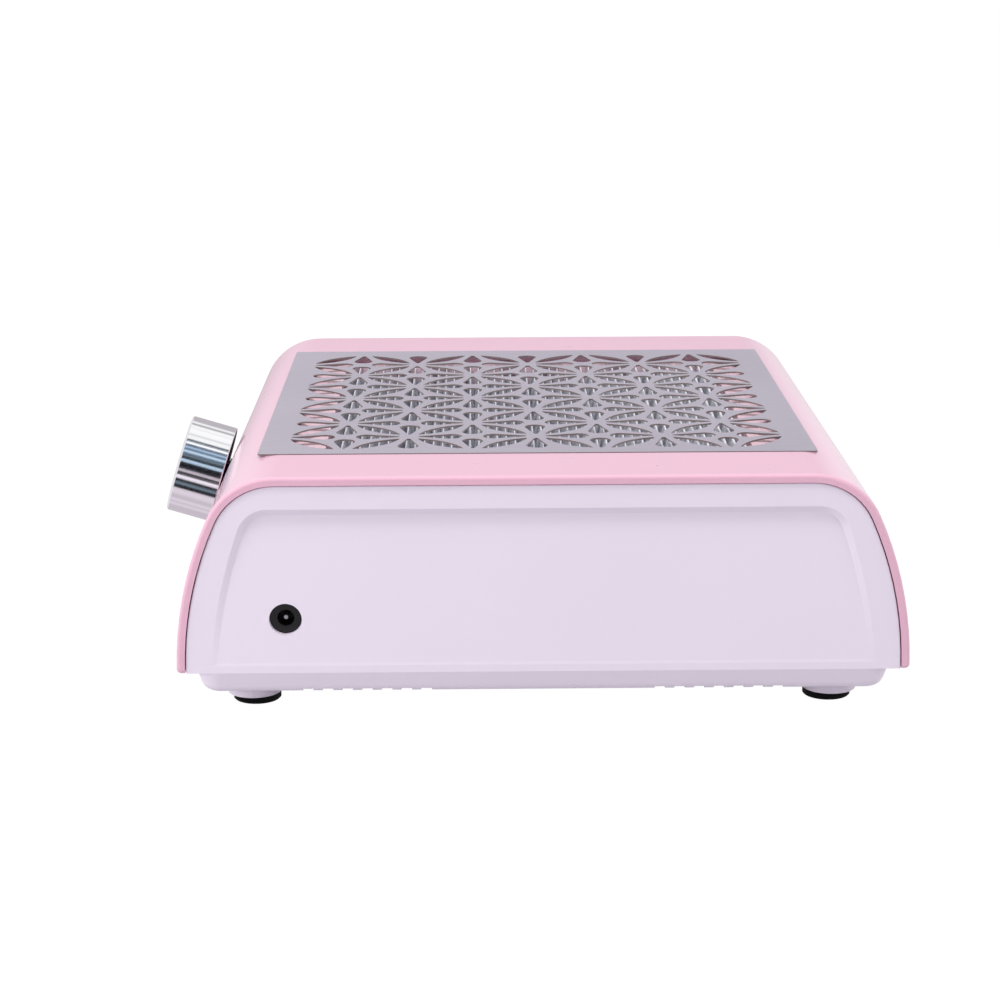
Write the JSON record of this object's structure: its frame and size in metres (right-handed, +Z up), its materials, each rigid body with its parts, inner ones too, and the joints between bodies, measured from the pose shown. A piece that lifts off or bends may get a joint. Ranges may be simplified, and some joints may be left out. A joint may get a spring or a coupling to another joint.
{
  "type": "nail dust collector",
  "caption": "Table-top nail dust collector: arch-shaped case with a pierced steel plate over a pleated filter, twin fans inside and a speed knob on the front.",
  "frame": {"origin": "centre of the case's footprint, on the bench", "axes": "+Z up, -Y the front with the speed knob, +X the side with the DC socket"},
  "size_m": [0.271, 0.2769, 0.0865],
  "materials": {
    "pink_plastic": "glossy moulded ABS",
    "white_plastic": "satin moulded ABS, lavender white",
    "plate_steel": "satin stainless sheet",
    "filter_paper": "pleated filter paper",
    "filter_plastic": "moulded plastic",
    "foam": "closed-cell foam",
    "rubber": "matt rubber",
    "black_plastic": "moulded nylon",
    "knob_chrome": "polished, fine axial lines",
    "steel": "zinc-plated steel",
    "brass": "plain brass",
    "copper": "enamelled copper wire",
    "iron": "laminated electrical steel",
    "magnet": "ferrite",
    "board": "glass-fibre board with solder mask",
    "aluminium": "extruded",
    "lead_jacket": "PVC jacket",
    "header_plastic": "moulded nylon"
  },
  "bodies": {
    "case": {"top_cover": "pink_plastic", "lower_case": "white_plastic", "filter_seal": "foam", "fan_deck": "black_plastic", "deck_seal": "foam", "fan_screws": "steel", "deck_screws": "steel", "foot_pads": "rubber", "case_screws": "steel", "speed_control": "steel", "control_washer": "steel", "control_nut": "brass", "dc_socket": "black_plastic", "dc_socket_pin": "steel", "dc_socket_nut": "steel", "control_board": "board", "board_screws": "steel", "capacitors": "aluminium", "heat_sink": "aluminium", "board_headers": "header_plastic", "socket_lead": "lead_jacket", "control_lead": "lead_jacket", "fan_lead_front": "lead_jacket", "fan_lead_rear": "lead_jacket", "fan_frame_front": "black_plastic", "fan_stator_front": "iron", "fan_windings_front": "copper", "fan_bearings_front": "brass", "fan_frame_rear": "black_plastic", "fan_stator_rear": "iron", "fan_windings_rear": "copper", "fan_bearings_rear": "brass"},
    "knob": {"knob": "knob_chrome", "knob_core": "black_plastic", "control_shaft": "steel"},
    "grille": {"grille_plate": "plate_steel"},
    "filter": {"filter_frame": "filter_plastic", "filter_media": "filter_paper"},
    "front_rotor": {"impeller_front": "black_plastic", "rotor_magnet_front": "magnet", "rotor_spindle_front": "steel"},
    "rear_rotor": {"impeller_rear": "black_plastic", "rotor_magnet_rear": "magnet", "rotor_spindle_rear": "steel"}
  },
  "joints": [
    {"name": "knob_turn", "type": "hinge", "parent": "case", "child": "knob", "pos_m": [0, -0.1234, 0.0546], "axis": [0, -0.9565, 0.2917], "range_deg": [-300, 0]},
    {"name": "grille_lift", "type": "slide", "parent": "case", "child": "grille", "axis": [0, 0, 1], "range_m": [0, 0.08]},
    {"name": "filter_lift", "type": "slide", "parent": "case", "child": "filter", "axis": [0, 0, 1], "range_m": [0, 0.04]},
    {"name": "front_fan_spin", "type": "hinge", "parent": "case", "child": "front_rotor", "pos_m": [0, -0.047, 0.04], "axis": [0, 0, 1], "continuous": true},
    {"name": "rear_fan_spin", "type": "hinge", "parent": "case", "child": "rear_rotor", "pos_m": [0, 0.047, 0.04], "axis": [0, 0, 1], "continuous": true}
  ],
  "couplings": [
    {"joint": "filter_lift", "follows": "grille_lift", "ratio": 0.5}
  ]
}
